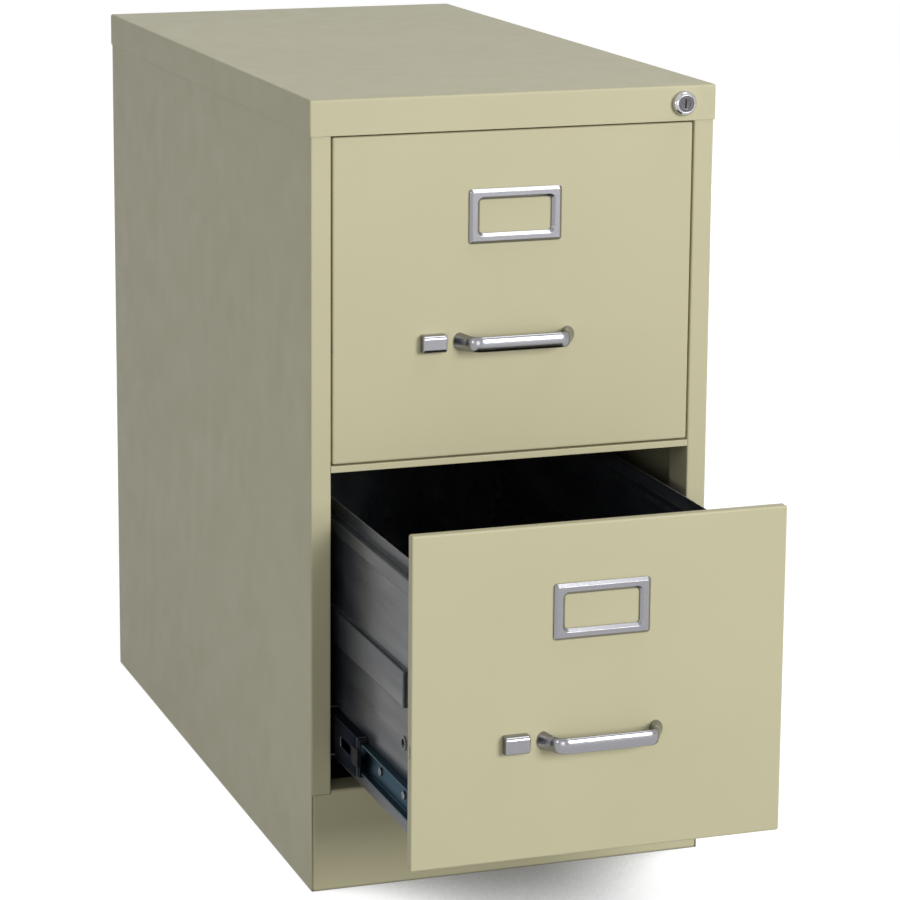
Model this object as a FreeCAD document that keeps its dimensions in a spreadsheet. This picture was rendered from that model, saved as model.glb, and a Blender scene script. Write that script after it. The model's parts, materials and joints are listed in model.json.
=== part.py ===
import FreeCAD, Part
import os
import re

# A two-drawer vertical filing cabinet of letter width, in millimetres.
# X runs to the right, Y to the back and Z up. The origin is on the floor, in the middle
# of the plane of the case's front. The upper drawer is shut and the lower one stands open.

Vector = FreeCAD.Vector
# How near two places are to count as one, and how far a cut runs past what it cuts.
TOUCH = 0.001
PAST = 1

doc = FreeCAD.newDocument("filing_cabinet")

SIZES = (
    ("cap_width", 381, "cap, outside width"),
    ("cap_depth", 724, "cap, outside depth"),
    ("cabinet_height", 721, "floor to the top of the cap"),
    ("cap_skirt", 32, "height of the cap's band"),
    ("cap_wall", 1.0, "cap, sheet thickness"),
    ("cap_fit", 0.3, "play between the cap and the case inside it"),
    ("cap_bend", 2.0, "cap, outer radius of its edges"),
    ("case_wall", 1.0, "case, sheet thickness"),
    ("case_bend", 1.6, "case, outer radius of its bends"),
    ("stile_width", 18.6, "width of the strip beside the drawers"),
    ("stile_return", 40, "depth of the stile's fold into the case"),
    ("stile_end", 91.5, "height at which the stiles stop"),
    ("back_fold", 12, "depth of the back panel's side folds"),
    ("base_height", 94.5, "front base, height"),
    ("base_fold", 30, "front base, depth of its folds"),
    ("base_bend", 2.6, "front base, outer radius of its edges"),
    ("seam", 0.3, "play in the seams of the case"),
    ("rear_rail_height", 60, "rear base rail, height"),
    ("rear_rail_fold", 30, "rear base rail, depth of its foot"),
    ("rail_face", 6, "height of the rail between the drawers"),
    ("rail_fold", 15, "depth of the front rails"),
    ("post_inset", 71.4, "rear post's front face from the back of the case"),
    ("post_depth", 40, "rear post, depth"),
    ("drawer_gap", 1.5, "gap round a drawer front"),
    ("front_depth", 8, "drawer front, depth of the pan"),
    ("front_wall", 1.0, "drawer front, sheet thickness"),
    ("front_bend", 1.8, "drawer front, outer edge radius"),
    ("liner_fold", 5, "depth of the liner's folds"),
    ("rest_pull", 217, "how far the lower drawer stands open"),
    ("drawer_wall", 0.9, "drawer box, sheet thickness"),
    ("back_room", 35.4, "room behind a shut drawer in the case"),
    ("side_lift", 19, "drawer side, height above the foot of the front"),
    ("side_top", 256, "top of the hanging rail above the foot of the front"),
    ("side_foot", 12, "width of the drawer side's foot"),
    ("rail_rise", 12, "height of the hanging rail"),
    ("ledge_width", 9, "width of the ledge outside the hanging rail"),
    ("ledge_step", 3, "how far the ledge stands out of the side"),
    ("ledge_drop", 14, "height of the ledge's outer face"),
    ("bead_low", 130, "drawer side, foot of the pressed band"),
    ("bead_height", 32, "drawer side, height of the pressed band"),
    ("bead_out", 4, "how far the band stands out"),
    ("bead_start", 34, "plain side before the band"),
    ("bead_margin", 10, "plain side behind the band"),
    ("bead_round", 1.6, "outer radius of the band"),
    ("back_drop", 30, "drawer back below the hanging rails"),
    ("boss_lift", 96, "drawer side's boss above the foot of the front"),
    ("boss_back", 51, "drawer side's boss behind the face of the front"),
    ("boss_radius", 6.5, "drawer side's boss, radius"),
    ("boss_hole", 4, "radius of the hole in that boss"),
    ("boss_out", 1, "how far the boss stands out of the side"),
    ("slide_thick", 12.7, "slide, thickness from case to drawer"),
    ("slide_steel", 1.2, "slide, steel thickness"),
    ("slide_lift", 51.5, "slide's middle above the foot of the front"),
    ("member_height", 46, "height of the slide's case member"),
    ("member_lip", 10, "reach of the case member's lips"),
    ("mid_lip", 8.4, "reach of the middle member's lips"),
    ("lip_gap", 0.3, "play at the tips of a drawer member's lips"),
    ("slide_round", 0.9, "outer radius of the slide's bends"),
    ("member_setback", 2, "case member behind the drawer front"),
    ("mid_front", 41, "front end of the middle member, drawer shut"),
    ("mid_end", 16, "back end of the middle member before the drawer's back, drawer shut"),
    ("window_setback", 18, "middle member's window behind its front end"),
    ("window_length", 30, "length of that window"),
    ("window_height", 10, "height of that window"),
    ("window_corner", 3, "corner radius of that window"),
    ("ball", 2.8, "ball diameter"),
    ("ball_play", 0.3, "play of a ball between its races"),
    ("ball_count", 6, "balls in one row"),
    ("ball_pitch", 26, "spacing of the balls"),
    ("cage_front", 208, "front end of the ball cages, drawer shut"),
    ("cage_wall", 0.8, "ball cage, thickness"),
    ("cage_play", 0.3, "play beside a ball cage"),
    ("cage_reach", 7, "reach of a cage's strips"),
    ("ball_in", 5.8, "balls inward of the cage's web"),
    ("stop_length", 9, "length of the middle member's end stop"),
    ("stop_nose", 4, "end stop before the end of the middle member"),
    ("stop_lug", 13, "length of the end stop's lug on the outside of the middle member"),
    ("stop_height", 16, "height of that lug"),
    ("lug_thick", 0.9, "thickness of that lug"),
    ("rivet_first", 46, "first slide rivet behind the drawer front's face"),
    ("rivet_pitch", 63, "first slide rivet to the second"),
    ("rivet_last", 60, "last slide rivet before the drawer's back"),
    ("rivet_radius", 2.0, "rivet and screw shanks"),
    ("rivet_head", 3.6, "rivet and screw heads, radius"),
    ("head_height", 1.4, "rivet and screw heads, height"),
    ("screw_play", 0.1, "play of a shank in its hole"),
    ("handle_drop", 187, "handle's middle below the top of the front"),
    ("handle_width", 92, "handle bar, length over its corners"),
    ("handle_reach", 24, "how far the handle stands out"),
    ("bar_height", 14, "handle bar, height"),
    ("bar_depth", 5.8, "handle bar, depth"),
    ("bow_radius", 10, "handle, radius of its corners"),
    ("foot_width", 12, "handle foot, width"),
    ("foot_height", 16, "handle foot, height"),
    ("foot_out", 11, "handle foot beyond the end of the bar"),
    ("foot_thick", 1.6, "handle foot, thickness"),
    ("flare_reach", 12.5, "how far out the feet have run into the bow"),
    ("flare_share", 0.42, "how much of the feet's spread is left halfway there"),
    ("flare_skin", 0.4, "end of the flare over the bow"),
    ("handle_screw_depth", 5.5, "depth of the screw holes in the handle"),
    ("screw_end_gap", 0.5, "handle screw short of the end of its hole"),
    ("label_drop", 51, "label holder below the top of the front"),
    ("label_width", 87, "label holder, width"),
    ("label_height", 49, "label holder, height"),
    ("label_thick", 4.2, "label holder, thickness"),
    ("label_frame", 9.5, "label holder, width of the frame"),
    ("label_corner", 3, "label holder, corner radius"),
    ("label_bevel", 2.7, "label holder, bevel"),
    ("card_slot", 0.8, "thickness of the slot for the card"),
    ("card_margin", 3.5, "how far the card goes under the frame"),
    ("latch_gap", 8.5, "thumb latch to handle foot"),
    ("latch_width", 22.5, "thumb latch, width"),
    ("latch_height", 16.5, "thumb latch, height"),
    ("latch_reach", 9, "how far the thumb latch stands out"),
    ("latch_round", 4, "thumb latch, edge radius"),
    ("latch_corner", 1.4, "thumb latch, end radius"),
    ("latch_travel", 6, "travel of the thumb latch"),
    ("latch_play", 0.3, "play round the moving latch"),
    ("neck_inset", 7, "latch neck behind the latch's left edge"),
    ("neck_width", 8, "latch neck, width"),
    ("neck_height", 7, "latch neck, height"),
    ("bolt_thick", 2, "latch bolt, thickness"),
    ("bolt_height", 10, "latch bolt, height"),
    ("bolt_setback", 1.2, "latch bolt behind the skin"),
    ("bolt_lead", 1.2, "latch bolt, bevel of its nose"),
    ("bolt_nose", 0.5, "how far the bolt's nose clears the front's edge"),
    ("spring_length", 14, "latch spring, length"),
    ("spring_radius", 1.9, "latch spring, coil radius"),
    ("spring_wire", 0.35, "latch spring, wire radius"),
    ("spring_turns", 6, "latch spring, turns"),
    ("spring_play", 0.3, "play at the ends of the latch spring"),
    ("tab_wall", 1.0, "spring tabs, thickness"),
    ("tab_height", 7, "spring tabs, height"),
    ("lock_inset", 31.5, "lock's middle from the cap's side"),
    ("lock_drop", 16, "lock's middle below the top"),
    ("bezel_radius", 11.2, "lock ring, outer radius"),
    ("bezel_out", 7, "how far the lock ring stands out"),
    ("bezel_round", 4.8, "lock ring, radius of its rounded front"),
    ("barrel_radius", 9.3, "lock barrel, radius"),
    ("barrel_back", 17, "end of the lock barrel behind the case's front"),
    ("core_radius", 7.5, "lock core, radius"),
    ("core_play", 0.05, "play of the core in the barrel"),
    ("core_recess", 0.6, "core behind the ring's face"),
    ("core_collar", 1.5, "core's neck behind the barrel"),
    ("dish_radius", 4.8, "dish in the core's face, radius"),
    ("dish_depth", 0.9, "dish in the core's face, depth"),
    ("keyway_width", 1.3, "keyway, width"),
    ("keyway_height", 8.5, "keyway, height"),
    ("keyway_depth", 6, "keyway, depth"),
    ("clip_wall", 1.2, "lock clip, thickness"),
    ("clip_width", 21, "lock clip, width"),
    ("clip_height", 24, "lock clip, height"),
    ("cam_wall", 2, "lock cam, thickness"),
    ("cam_reach", 14, "cam pin's radius from the core's axis"),
    ("cam_width", 8, "lock cam, width"),
    ("cam_angle", 45, "lock cam, angle above the level, unlocked"),
    ("cam_eye", 3, "lock cam, radius round its pin"),
    ("cam_pin", 2, "cam pin, radius"),
    ("pin_length", 3, "cam pin, length"),
    ("pin_play", 0.8, "play of the cam pin in the bar's slot"),
    ("arm_wall", 2, "lock bar, thickness"),
    ("arm_rim", 1.0, "steel round the slot of the lock bar"),
    ("arm_play", 0.5, "play behind the cam"),
    ("bar_width", 9, "lock bar, width"),
    ("bar_low", 130, "lower end of the lock bar"),
    ("hook_height", 14, "height of the lock bar's hooks"),
    ("guide_lift", 60, "lock bar guides above the foot of each drawer front"),
    ("guide_rim", 2.5, "lock bar guides, rim"),
    ("guide_thick", 3, "lock bar guides, height"),
    ("guide_play", 0.4, "play of the lock bar in its guides"),
)

PLACES = (
    ("case_half", "cap_width / 2 - cap_wall - cap_fit"),
    ("case_back", "cap_depth - 2 * (cap_wall + cap_fit)"),
    ("case_top", "cabinet_height - cap_wall"),
    ("band_bottom", "cabinet_height - cap_skirt"),
    ("open_half", "case_half - stile_width"),
    ("front_height", "(band_bottom - base_height - rail_face - 4 * drawer_gap) / 2"),
    ("lower_bottom", "base_height + drawer_gap"),
    ("rail_bottom", "lower_bottom + front_height + drawer_gap"),
    ("upper_bottom", "rail_bottom + rail_face + drawer_gap"),
    ("front_half", "open_half - drawer_gap"),
    ("box_half", "open_half - slide_thick"),
    ("post_front", "case_back - post_inset"),
    ("drawer_back", "case_back - back_room"),
    ("member_front", "front_depth + member_setback"),
    ("mid_back", "drawer_back - mid_end"),
    ("mid_height", "member_height - 2 * (slide_steel + ball + 2 * ball_play)"),
    ("inner_height", "mid_height - 2 * (slide_steel + ball + 2 * ball_play)"),
    ("outer_cage_x", "open_half - slide_steel - cage_play"),
    ("mid_x", "outer_cage_x - cage_wall - cage_play"),
    ("inner_cage_x", "mid_x - slide_steel - cage_play"),
    ("inner_lip_x", "inner_cage_x - cage_wall - lip_gap"),
    ("cage_length", "ball_count * ball_pitch"),
    ("foot_edge", "handle_width / 2 + foot_out"),
    ("screw_x", "foot_edge - foot_width / 2"),
    ("bow_half", "handle_width / 2 - bar_depth / 2"),
    ("bow_out", "handle_reach - bar_depth / 2"),
    ("leg_slope", "(screw_x - bow_half) / (bow_out - foot_thick)"),
    ("latch_right", "0 - foot_edge - latch_gap"),
    ("latch_left", "latch_right - latch_width"),
    ("neck_left", "latch_left + neck_inset"),
    ("neck_right", "neck_left + neck_width"),
    ("bolt_front", "front_wall + bolt_setback"),
    ("bolt_end", "neck_right + tab_wall"),
    ("spring_y", "front_depth / 2"),
    ("lock_x", "cap_width / 2 - lock_inset"),
    ("lock_z", "cabinet_height - lock_drop"),
    ("band_face", "0 - cap_wall - cap_fit"),
    ("bezel_face_y", "band_face - bezel_out"),
    ("cam_front", "barrel_back + core_collar"),
    ("arm_front", "cam_front + cam_wall + arm_play"),
    ("cam_rise", "cam_reach * sin(cam_angle)"),
    ("cam_out", "cam_reach * cos(cam_angle)"),
    ("arm_z", "lock_z + cam_rise"),
    ("bar_x", "open_half + case_wall + guide_rim + guide_play"),
)


def make_sheet(name, rows):
    """A spreadsheet with one aliased value on each row."""
    sheet = doc.addObject("Spreadsheet::Sheet", name)
    for number, row in enumerate(rows, 1):
        sheet.set(f"A{number}", row[0])
        sheet.set(f"B{number}", row[1])
        sheet.setAlias(f"B{number}", row[0])
        if len(row) > 2:
            sheet.set(f"C{number}", row[2])
    return sheet


SHEET_OF = {row[0]: "Sizes" for row in SIZES} | {row[0]: "Places" for row in PLACES}


def bound(text):
    """The expression with each alias led by the name of its sheet."""
    return re.sub(r"[a-z_]+", lambda word: word_in_sheet(word.group()), str(text))


def word_in_sheet(word):
    """One word of an expression."""
    return f"{SHEET_OF[word]}.{word}" if word in SHEET_OF else word


sizes = make_sheet("Sizes", [(name, str(number), note) for name, number, note in SIZES])
places = make_sheet("Places", [(name, "=" + bound(text)) for name, text in PLACES])
doc.recompute()

nodes = []


def value(text):
    """The number that an expression stands for."""
    return float(sizes.evalExpression(bound(text)))


def keep(name, obj):
    """Name a finished sub-part."""
    obj.Label = name
    nodes.append(obj)
    return obj


def place(obj, x, y, z):
    """Bind the place of an object to expressions."""
    for axis, text in zip("xyz", (x, y, z)):
        obj.setExpression(f"Placement.Base.{axis}", bound(text))


def box(x, y, z):
    """A block between a low and a high plane on each axis."""
    obj = doc.addObject("Part::Box", "Block")
    for side, (low, high) in zip(("Length", "Width", "Height"), (x, y, z)):
        obj.setExpression(side, bound(f"({high}) - ({low})"))
    place(obj, x[0], y[0], z[0])
    return obj


TURNS = {
    "x": FreeCAD.Rotation(Vector(0, 1, 0), 90),
    "y": FreeCAD.Rotation(Vector(1, 0, 0), -90),
    "z": FreeCAD.Rotation(),
}


def rod(axis, x, y, z, radius, length):
    """A cylinder that starts at a point and runs up an axis."""
    obj = doc.addObject("Part::Cylinder", "Rod")
    obj.Placement = FreeCAD.Placement(Vector(), TURNS[axis])
    obj.setExpression("Radius", bound(radius))
    obj.setExpression("Height", bound(length))
    place(obj, x, y, z)
    return obj


def hole_along_y(x, start, end, z, radius):
    """A rod for a round hole from front to back, right through a wall."""
    return rod("y", x, f"({start}) - {PAST}", z, radius, f"({end}) - ({start}) + 2 * {PAST}")


def fuse(pieces):
    """One solid made of several."""
    obj = doc.addObject("Part::MultiFuse", "Joined")
    obj.Shapes = pieces
    return obj


def cut(base, tools):
    """A solid with others taken out of it."""
    obj = doc.addObject("Part::Cut", "Cut")
    obj.Base = base
    obj.Tool = tools[0] if len(tools) == 1 else fuse(tools)
    return obj


def group(pieces):
    """Several solids in one sub-part."""
    obj = doc.addObject("Part::Compound", "Group")
    obj.Links = pieces
    return obj


AXES = "xyz"
UPRIGHT = Vector(0, 0, 1)
FORWARD = Vector(0, -1, 0)


def lies_on(point, face, bounds):
    """Whether a point is on one face of a bounding box, such as x- or z+."""
    limit = getattr(bounds, face[0].upper() + ("Max" if face[1] == "+" else "Min"))
    return abs(point[AXES.index(face[0])] - limit) < TOUCH


def ends_on(edge, face, bounds):
    """Whether both ends of an edge are on one face of the bounding box."""
    return all(lies_on(end.Point, face, bounds) for end in edge.Vertexes)


def soften_where(base, radius, wanted, kind="Part::Fillet"):
    """Round or bevel the edges that a test picks out."""
    doc.recompute()
    bounds = base.Shape.BoundBox
    size = value(radius)
    edges = enumerate(base.Shape.Edges, 1)
    obj = doc.addObject(kind, "Softened")
    obj.Base = base
    obj.Edges = [(number, size, size) for number, edge in edges if wanted(edge, bounds)]
    return obj


def soften(base, radius, pairs, kind="Part::Fillet"):
    """Round or bevel the edges between the named pairs of outside faces."""

    def between(edge, bounds):
        middle = edge.CenterOfMass
        return any(all(lies_on(middle, face, bounds) for face in pair) for pair in pairs)

    return soften_where(base, radius, between, kind)


def all_pairs_but(*open_faces):
    """Every pair of neighbouring faces of a box, leaving out the open ones."""
    faces = [axis + end for axis in AXES for end in "-+" if axis + end not in open_faces]
    return [(a, b) for a in faces for b in faces if a < b and a[0] != b[0]]


def inset(pair, by):
    """A low and high pair moved inward by an amount at both ends."""
    return (f"({pair[0]}) + ({by})", f"({pair[1]}) - ({by})")


def past(pair):
    """A low and high pair moved outward, for a cut that runs right through."""
    return inset(pair, f"0 - {PAST}")


def either_side(sign, near, far):
    """The X range between two distances from the middle, on the left or the right."""
    return (near, far) if sign > 0 else (f"0 - ({far})", f"0 - ({near})")


def at_side(sign, distance):
    """The X of a distance from the middle, on the left or the right."""
    return distance if sign > 0 else f"0 - ({distance})"


def outward(sign):
    """The name of a box's face on the outside."""
    return "x+" if sign > 0 else "x-"


def inward(sign):
    """The name of a box's face towards the middle."""
    return outward(-sign)


def along(text, pull):
    """A Y place moved forward with its drawer."""
    return f"({text}) - ({pull})"


def both(start, end, pull):
    """A Y range moved forward with its drawer."""
    return (along(start, pull), along(end, pull))


SIDES = {"left": -1, "right": 1}
# Each drawer's name, the foot of its front and how far it stands open.
DRAWERS = (("upper", "upper_bottom", "0"), ("lower", "lower_bottom", "rest_pull"))
BOTTOMS = [bottom for name, bottom, pull in DRAWERS]
FULL_X = ("0 - case_half", "case_half")


def top_cap():
    """A tray turned over, which fits round the top of the case."""
    x = ("0 - cap_width / 2", "cap_width / 2")
    y = ("band_face", "band_face + cap_depth")
    z = ("band_bottom", "cabinet_height")
    outside = soften(box(x, y, z), "cap_bend", all_pairs_but("z-"))
    inside = box(inset(x, "cap_wall"), inset(y, "cap_wall"), (f"{z[0]} - cap_wall", "case_top"))
    inside = soften(inside, "cap_bend - cap_wall", all_pairs_but("z-"))
    lock_hole = hole_along_y("lock_x", "band_face", "band_face + cap_wall", "lock_z", "barrel_radius + seam")
    keep("top_cap", cut(outside, [inside, lock_hole]))


def side_panel(side):
    """A side of the case, folded round to the front as a stile and back into the case."""
    sign = SIDES[side]
    x = either_side(sign, "open_half", "case_half")
    sheet = "case_half - case_wall"
    corners = [(outward(sign), face) for face in ("y-", "z-", "z+")]
    corners += [(inward(sign), "y-"), ("y-", "z+")]
    block = soften(box(x, ("0", "case_back"), ("0", "case_top")), "case_bend", corners)
    post_inside = either_side(sign, "open_half + case_wall", sheet)
    hollow = box(post_inside, ("case_wall", f"case_back + {PAST}"), ("case_wall", "case_top - case_wall"))
    hollow = soften(hollow, "case_bend - case_wall", [(outward(sign), "y-"), (inward(sign), "y-")])
    behind_return = box(
        either_side(sign, f"open_half - {PAST}", "open_half + case_wall"),
        ("stile_return", f"case_back + {PAST}"),
        (f"0 - {PAST}", f"case_top + {PAST}"),
    )
    base_room = box(
        either_side(sign, f"open_half - {PAST}", sheet),
        (f"0 - {PAST}", f"stile_return + {PAST}"),
        (f"0 - {PAST}", "stile_end"),
    )
    back_room = box(
        either_side(sign, f"open_half - {PAST}", sheet),
        ("case_back - case_wall", f"case_back + {PAST}"),
        (f"0 - {PAST}", f"case_top + {PAST}"),
    )
    tools = [hollow, behind_return, base_room, back_room]
    if side == "right":
        tools.append(lock_arm_slot(sign))
        tools += [lock_hook_slot(sign, bottom) for bottom in BOTTOMS]
    keep(f"{side}_side", cut(block, tools))


def lock_arm_slot(sign):
    """The slot in the stile's return for the arm of the lock bar."""
    return box(
        either_side(sign, f"open_half - {PAST}", "open_half + case_wall + seam"),
        ("cam_front - arm_play", "arm_front + arm_wall + arm_play"),
        ("lock_z - cam_rise - cam_pin - pin_play - arm_rim - arm_play", "case_top - case_wall"),
    )


def lock_hook_slot(sign, bottom):
    """The slot in the stile's return through which the lock bar's hook reaches a drawer."""
    return box(
        either_side(sign, f"open_half - {PAST}", "open_half + case_wall + seam"),
        ("arm_front - arm_play", "arm_front + arm_wall + arm_play"),
        (
            f"{bottom} + front_height / 2 - hook_height / 2 - 2 * cam_rise - arm_play",
            f"{bottom} + front_height / 2 + hook_height / 2 + arm_play",
        ),
    )


def back_panel():
    """The back of the case, folded forward inside both sides."""
    x = inset(FULL_X, "case_wall")
    y = ("case_back - back_fold", "case_back")
    block = soften(box(x, y, ("0", "case_top")), "case_bend", [("x-", "y+"), ("x+", "y+"), ("y+", "z+")])
    middle = (f"{y[0]} - {PAST}", "case_back - case_wall")
    hollow = box(inset(x, "case_wall"), middle, (f"0 - {PAST}", f"case_top + {PAST}"))
    foot = box(x, middle, (f"0 - {PAST}", "case_wall"))
    head = box(x, middle, ("case_top - case_wall", f"case_top + {PAST}"))
    keep("back_panel", cut(block, [hollow, foot, head]))


def base_front():
    """The kick plate under the drawers, which stands on the floor between the sides."""
    x = inset(FULL_X, "case_wall + seam")
    y = ("0", "base_fold")
    z = ("0", "base_height")
    block = soften(box(x, y, z), "base_bend", all_pairs_but("y+"))
    hollow = box(inset(x, "case_wall"), ("case_wall", f"base_fold + {PAST}"), inset(z, "case_wall"))
    hollow = soften(hollow, "base_bend - case_wall", all_pairs_but("y+"))
    notches = [
        box(
            either_side(sign, "open_half - seam", "case_half"),
            (f"0 - {PAST}", f"base_fold + {PAST}"),
            ("stile_end - seam", f"base_height + {PAST}"),
        )
        for sign in SIDES.values()
    ]
    keep("base_front", cut(block, [hollow] + notches))


def base_rear():
    """The angle rail across the foot of the back."""
    y = ("case_back - case_wall - rear_rail_fold", "case_back - case_wall")
    x = inset(("0 - open_half", "open_half"), "0 - case_wall")
    block = box(x, y, ("0", "rear_rail_height"))
    hollow = box(
        past(x),
        (f"{y[0]} - {PAST}", f"{y[1]} - case_wall"),
        ("case_wall", f"rear_rail_height + {PAST}"),
    )
    keep("base_rear", cut(block, [hollow]))


def front_rail(name, low, high, tools):
    """A channel across the front of the case, open to the back."""
    x = ("0 - open_half", "open_half")
    block = box(x, ("0", "rail_fold"), (low, high))
    block = soften(block, "case_bend - case_wall", [("y-", "z-"), ("y-", "z+")])
    hollow = box(past(x), ("case_wall", f"rail_fold + {PAST}"), inset((low, high), "case_wall"))
    keep(name, cut(block, [hollow] + tools))


def front_rails():
    """The rail between the drawers and the one behind the cap's band, which carries the lock."""
    front_rail("divider_rail", "rail_bottom", "rail_bottom + rail_face", [])
    barrel_hole = hole_along_y("lock_x", "0", "case_wall", "lock_z", "barrel_radius + seam")
    front_rail("top_rail", "band_bottom + seam", "case_top - case_wall", [barrel_hole])


def rear_post(side):
    """The upright channel inside the case that carries the back ends of the slides."""
    sign = SIDES[side]
    z = ("case_wall", "case_top - case_wall")
    block = box(
        either_side(sign, "open_half", "case_half - case_wall"),
        ("post_front", "post_front + post_depth"),
        z,
    )
    hollow = box(
        either_side(sign, "open_half + case_wall", f"case_half + {PAST}"),
        ("post_front + case_wall", "post_front + post_depth - case_wall"),
        past(z),
    )
    keep(f"{side}_rear_post", cut(block, [hollow]))


def channel(sign, web_x, lip, height, middle, y, opens_in):
    """A slide member, a web with a lip along its top and bottom, and what is taken out of it."""
    half = f"({height}) / 2"
    z = (f"({middle}) - {half}", f"({middle}) + {half}")
    if opens_in:
        x = either_side(sign, f"{web_x} - ({lip})", web_x)
        hollow_x = either_side(sign, f"{web_x} - ({lip}) - {PAST}", f"{web_x} - slide_steel")
        web = outward(sign)
    else:
        x = either_side(sign, web_x, f"{web_x} + ({lip})")
        hollow_x = either_side(sign, f"{web_x} + slide_steel", f"{web_x} + ({lip}) + {PAST}")
        web = inward(sign)
    block = soften(box(x, y, z), "slide_round", [(web, "z-"), (web, "z+")])
    hollow = box(hollow_x, (f"{y[0]} - {PAST}", f"{y[1]} + {PAST}"), inset(z, "slide_steel"))
    return block, hollow


def rivet_places(pull):
    """The Y places of the rivets that hold a drawer member."""
    rests = ("rivet_first", "rivet_first + rivet_pitch", "drawer_back - rivet_last")
    return [along(rest, pull) for rest in rests]


def slides(level, bottom, pull):
    """The three-part ball slides of one drawer, with their cages and end stops."""
    middle = f"{bottom} + slide_lift"
    half_pull = f"({pull}) / 2"
    stops = []
    for side, sign in SIDES.items():
        y = ("member_front", "drawer_back")
        block, hollow = channel(sign, "open_half", "member_lip", "member_height", middle, y, True)
        keep(f"{level}_{side}_case_slide", cut(block, [hollow]))

        y = both("mid_front", "mid_back", half_pull)
        block, hollow = channel(sign, "mid_x", "mid_lip", "mid_height", middle, y, True)
        window = box(
            either_side(sign, f"mid_x - slide_steel - {PAST}", f"mid_x + {PAST}"),
            (f"{y[0]} + window_setback", f"{y[0]} + window_setback + window_length"),
            (f"{middle} - window_height / 2", f"{middle} + window_height / 2"),
        )
        window = soften(window, "window_corner", [(a, b) for a in ("y-", "y+") for b in ("z-", "z+")])
        keep(f"{level}_{side}_middle_slide", cut(block, [hollow, window]))

        y = both("front_depth", "drawer_back", pull)
        lip = "inner_lip_x - box_half"
        block, hollow = channel(sign, "box_half", lip, "inner_height", middle, y, False)
        holes = [rivet_hole(sign, at, middle) for at in rivet_places(pull)]
        keep(f"{level}_{side}_drawer_slide", cut(block, [hollow] + holes))
        stops.append(slide_stop(sign, middle, half_pull))
    keep(f"{level}_slide_stops", group(stops))
    ball_cages(f"{level}_outer_ball_cages", "outer_cage_x", "mid_height", middle, f"({pull}) / 4")
    ball_cages(f"{level}_inner_ball_cages", "inner_cage_x", "inner_height", middle, f"({pull}) * 3 / 4")


def rivet_hole(sign, y, z):
    """A hole through a drawer member and the drawer's side."""
    start = f"box_half - drawer_wall - {PAST}" if sign > 0 else f"0 - box_half - slide_steel - {PAST}"
    return rod("x", start, y, z, "rivet_radius + screw_play", f"drawer_wall + slide_steel + 2 * {PAST}")


def slide_stop(sign, middle, pull):
    """The moulded stop in the front end of a middle member, round the drawer member."""
    y = both("mid_front - stop_nose", "mid_front + stop_length", pull)
    inner_half = "inner_height / 2 + ball_play"
    outer_half = "mid_height / 2 - slide_steel"
    x = either_side(sign, "mid_x - mid_lip", "mid_x - slide_steel")
    body = box(x, y, (f"{middle} - ({outer_half})", f"{middle} + {outer_half}"))
    lug_z = (f"{middle} - stop_height / 2", f"{middle} + stop_height / 2")
    nose_end = f"{y[0]} + stop_nose"
    nose = box(either_side(sign, "mid_x - mid_lip", "mid_x + lug_thick"), (y[0], nose_end), lug_z)
    lug_x = either_side(sign, "mid_x", "mid_x + lug_thick")
    lug = box(lug_x, (y[0], f"{nose_end} + stop_lug"), lug_z)
    hollow = box(
        either_side(sign, f"mid_x - mid_lip - {PAST}", "inner_lip_x + lip_gap"),
        (f"{y[0]} - {PAST}", f"{y[1]} + {PAST}"),
        (f"{middle} - ({inner_half})", f"{middle} + {inner_half}"),
    )
    return cut(fuse([body, nose, lug]), [hollow])


def ball_cages(name, web_x, race_height, middle, pull):
    """A pair of cages, left and right, each with a row of balls along its top and bottom."""
    pieces = []
    for sign in SIDES.values():
        y = both("cage_front", "cage_front + cage_length", pull)
        race = f"({race_height}) / 2 + ball_play + ball / 2"
        half = f"{race} + cage_wall / 2"
        x = either_side(sign, f"{web_x} - cage_reach", web_x)
        block = box(x, y, (f"{middle} - ({half})", f"{middle} + {half}"))
        hollow = box(
            either_side(sign, f"{web_x} - cage_reach - {PAST}", f"{web_x} - cage_wall"),
            (f"{y[0]} - {PAST}", f"{y[1]} + {PAST}"),
            (f"{middle} - ({half}) + cage_wall", f"{middle} + {half} - cage_wall"),
        )
        holes = []
        balls = []
        for number in range(round(value("ball_count"))):
            ball_x = at_side(sign, f"{web_x} - ball_in")
            ball_y = f"{y[0]} + ball_pitch * ({number} + 0.5)"
            for up in ("0 - ", ""):
                low = f"{middle} + ({up}({race})) - ball"
                holes.append(rod("z", ball_x, ball_y, low, "ball / 2 + screw_play", "ball * 2"))
                sphere = doc.addObject("Part::Sphere", "Ball")
                sphere.setExpression("Radius", bound("ball / 2"))
                place(sphere, ball_x, ball_y, f"{middle} + ({up}({race}))")
                balls.append(sphere)
        pieces += [cut(block, [hollow] + holes)] + balls
    keep(name, group(pieces))


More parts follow.
